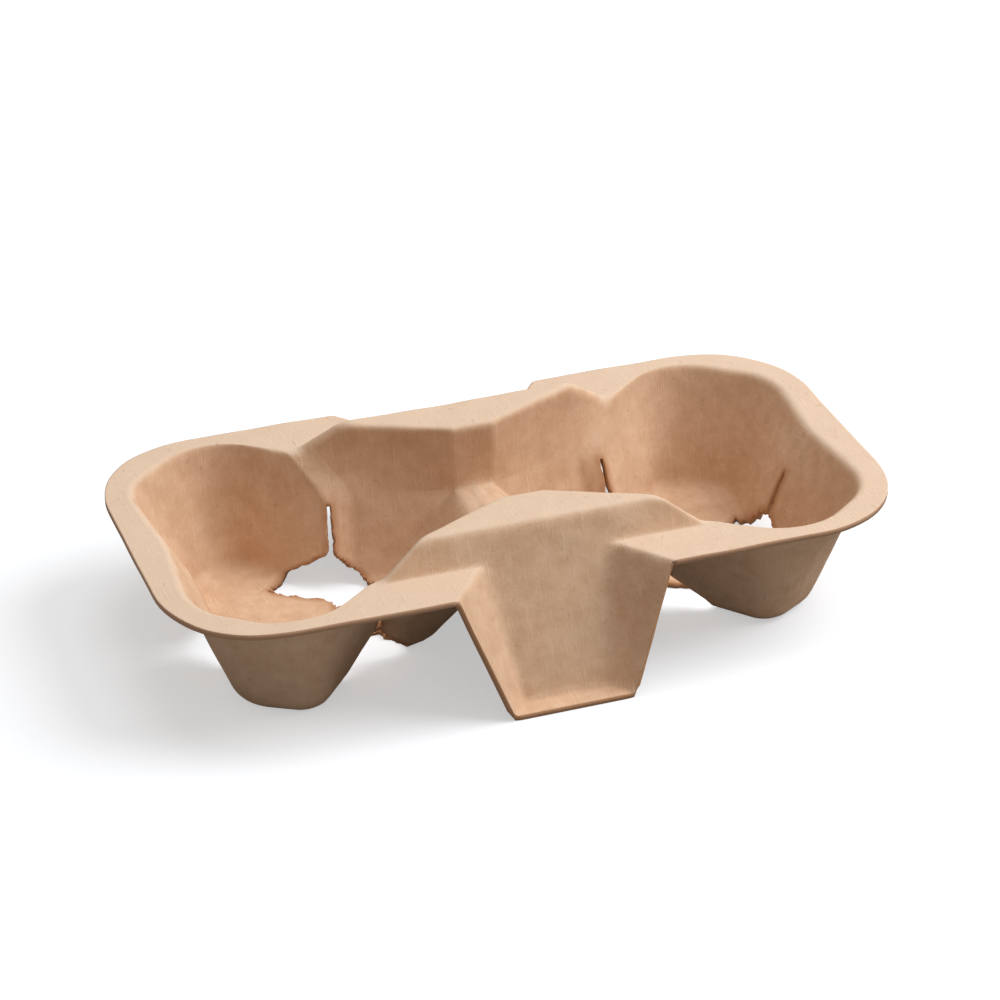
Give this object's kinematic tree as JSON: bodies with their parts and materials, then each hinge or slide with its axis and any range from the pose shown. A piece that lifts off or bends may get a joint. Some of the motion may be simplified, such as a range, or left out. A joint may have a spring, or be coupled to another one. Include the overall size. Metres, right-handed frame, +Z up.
{
  "type": "moulded pulp cup carrier",
  "caption": "Moulded pulp cup carrier with wide wells on three feet each, torn creases, a raised bridge with hand ridges and finger troughs front and back.",
  "frame": {"origin": "on the table, under the middle of the tray", "axes": "+X along the tray, +Y to the back trough, +Z up"},
  "size_m": [0.215, 0.1274, 0.046],
  "materials": {
    "pulp": "matt, felted fibre"
  },
  "bodies": {
    "root": {"carrier": "pulp"}
  },
  "joints": []
}
